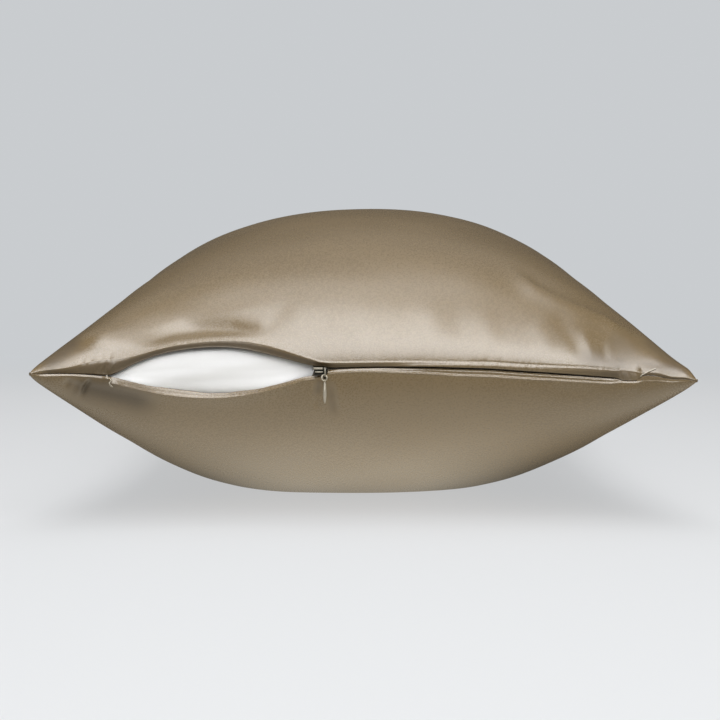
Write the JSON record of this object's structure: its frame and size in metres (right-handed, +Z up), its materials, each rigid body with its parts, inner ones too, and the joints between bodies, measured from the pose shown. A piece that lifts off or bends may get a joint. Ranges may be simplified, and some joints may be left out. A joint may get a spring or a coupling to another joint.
{
  "type": "zipped satin pillowcase on a pillow",
  "caption": "Satin pillowcase drawn over a full white pillow, its concealed zip partly open at one end.",
  "frame": {"origin": "middle of the object's box, at the height of the flat patch it rests on", "axes": "+Z up, +Y along the long way away from the zip end, +X to the right as seen from the zip end"},
  "size_m": [0.4592, 0.7236, 0.2323],
  "materials": {
    "satin": "champagne brown satin, soft sheen, fine weave",
    "pillow_cotton": "matt white woven cotton",
    "zip_tape": "woven tape with a fine nylon coil, dyed to match the satin",
    "zip_enamel": "beige enamel on die-cast metal, semi gloss"
  },
  "bodies": {
    "root": {"insert_pillow": "pillow_cotton", "case_top": "satin", "case_bottom": "satin", "zip_tape_upper": "zip_tape", "zip_tape_lower": "zip_tape", "zip_slider": "zip_enamel", "zip_pull": "zip_enamel"}
  },
  "joints": []
}
